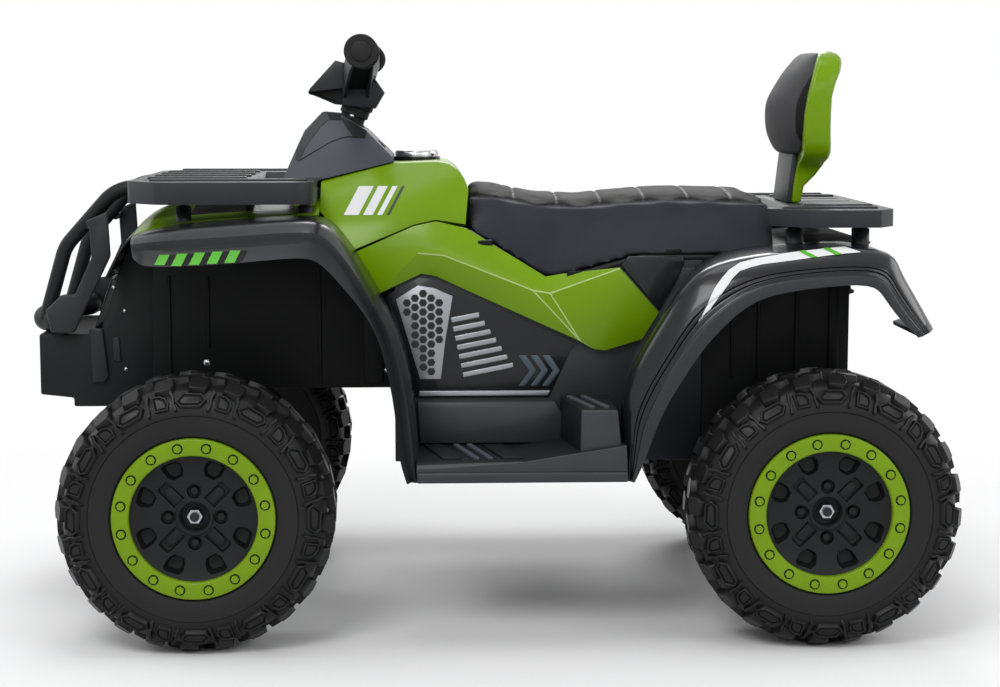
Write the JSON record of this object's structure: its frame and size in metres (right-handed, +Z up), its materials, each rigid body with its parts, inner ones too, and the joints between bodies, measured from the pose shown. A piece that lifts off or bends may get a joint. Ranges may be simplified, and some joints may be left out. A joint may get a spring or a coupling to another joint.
{
  "type": "kids quad bike",
  "caption": "Battery ride-on quad bike for children with steered front wheels, racks, a saddle with backrest, a bull bar and footboards.",
  "frame": {"origin": "on the ground under the middle of the bike's length and width", "axes": "+X to the rear of the bike, +Y to the rider's right hand, +Z up"},
  "size_m": [1.2362, 0.72, 0.7889],
  "materials": {
    "green_plastic": "glossy moulded plastic, leaf green",
    "black_gloss": "painted gloss black",
    "black_plastic": "grained black moulding",
    "print_panel": "dark panel with a printed film",
    "cowl_grey": "dark blue-grey satin",
    "tyre": "black moulded tread",
    "seat_leather": "black grained leatherette",
    "grip_rubber": "soft black rubber",
    "steel": "zinc plated",
    "chrome": "bright plating on plastic",
    "clear_lens": "clear lens",
    "red_lens": "red moulded lens",
    "dark_casing": "dark grey moulding"
  },
  "bodies": {
    "root": {"backrest_pad": "seat_leather", "backrest_shell": "green_plastic", "battery": "dark_casing", "bull_bar": "black_plastic", "bumper_plates": "black_plastic", "chassis_tub": "black_plastic", "control_box": "dark_casing", "cowl": "cowl_grey", "footboard_left": "black_plastic", "footboard_right": "black_plastic", "front_axle_beam": "steel", "front_fender_left": "black_gloss", "front_fender_right": "black_gloss", "front_hood": "black_gloss", "front_liner": "black_plastic", "front_rack": "black_plastic", "front_valance": "black_plastic", "fuel_cap": "chrome", "gear_motor_left": "black_plastic", "gear_motor_right": "black_plastic", "headlights": "clear_lens", "rear_axle": "steel", "rear_axle_nuts": "steel", "rear_fender_left": "black_gloss", "rear_fender_right": "black_gloss", "rear_liner": "black_plastic", "rear_rack": "black_plastic", "seat_base": "black_plastic", "seat_cushion": "seat_leather", "side_cover_left": "print_panel", "side_cover_right": "print_panel", "side_panel_left": "green_plastic", "side_panel_right": "green_plastic", "tail_light": "red_lens", "tank_cover": "green_plastic"},
    "steering": {"steering_column": "steel", "handlebar": "steel", "bar_cover": "black_plastic", "grip_left": "grip_rubber", "grip_right": "grip_rubber"},
    "knuckle_left": {"knuckle_left": "steel", "front_nut_left": "steel"},
    "knuckle_right": {"knuckle_right": "steel", "front_nut_right": "steel"},
    "tie_rod": {"tie_rod": "steel"},
    "throttle_pedal": {"throttle_pedal": "black_plastic"},
    "power_button": {"power_button": "red_lens"},
    "direction_rocker": {"direction_rocker": "dark_casing"},
    "wheel_front_left": {"tyre_front_left": "tyre", "rim_front_left": "black_plastic", "ring_front_left": "green_plastic"},
    "wheel_front_right": {"tyre_front_right": "tyre", "rim_front_right": "black_plastic", "ring_front_right": "green_plastic"},
    "wheel_rear_left": {"tyre_rear_left": "tyre", "rim_rear_left": "black_plastic", "ring_rear_left": "green_plastic"},
    "wheel_rear_right": {"tyre_rear_right": "tyre", "rim_rear_right": "black_plastic", "ring_rear_right": "green_plastic"}
  },
  "joints": [
    {"name": "steer", "type": "hinge", "parent": "root", "child": "steering", "pos_m": [-0.175, 0, 0.69], "axis": [0.3778, 0, 0.9259], "range_deg": [-28, 28]},
    {"name": "knuckle_left_turn", "type": "hinge", "parent": "root", "child": "knuckle_left", "pos_m": [-0.372, -0.205, 0.178], "axis": [0, 0, 1], "range_deg": [-28, 28]},
    {"name": "knuckle_right_turn", "type": "hinge", "parent": "root", "child": "knuckle_right", "pos_m": [-0.372, 0.205, 0.178], "axis": [0, 0, 1], "range_deg": [-28, 28]},
    {"name": "tie_rod_slide", "type": "slide", "parent": "root", "child": "tie_rod", "axis": [0, 1, 0], "range_m": [-0.025, 0.025]},
    {"name": "wheel_front_left_spin", "type": "hinge", "parent": "knuckle_left", "child": "wheel_front_left", "pos_m": [-0.372, -0.295, 0.178], "axis": [0, 1, 0], "continuous": true},
    {"name": "wheel_front_right_spin", "type": "hinge", "parent": "knuckle_right", "child": "wheel_front_right", "pos_m": [-0.372, 0.295, 0.178], "axis": [0, 1, 0], "continuous": true},
    {"name": "wheel_rear_left_spin", "type": "hinge", "parent": "root", "child": "wheel_rear_left", "pos_m": [0.44, -0.295, 0.178], "axis": [0, 1, 0], "continuous": true},
    {"name": "wheel_rear_right_spin", "type": "hinge", "parent": "root", "child": "wheel_rear_right", "pos_m": [0.44, 0.295, 0.178], "axis": [0, 1, 0], "continuous": true},
    {"name": "pedal_press", "type": "hinge", "parent": "root", "child": "throttle_pedal", "pos_m": [0, 0.248, 0.252], "axis": [0, -1, 0], "range_deg": [0, 9], "stiffness_Nm_per_rad": 2, "springref_deg": -5.73},
    {"name": "power_press", "type": "slide", "parent": "root", "child": "power_button", "axis": [-0.7071, 0, -0.7071], "range_m": [0, 0.003], "stiffness_N_per_m": 300, "springref_m": -0.002},
    {"name": "direction_rock", "type": "hinge", "parent": "root", "child": "direction_rocker", "pos_m": [-0.13983, -0.03, 0.64117], "axis": [0, 1, 0], "range_deg": [-10, 10]}
  ],
  "couplings": [
    {"joint": "knuckle_left_turn", "follows": "steer", "ratio": 0.95018},
    {"joint": "knuckle_right_turn", "follows": "steer", "ratio": 0.95018},
    {"joint": "tie_rod_slide", "follows": "steer", "m_per_rad": 0.047509}
  ]
}
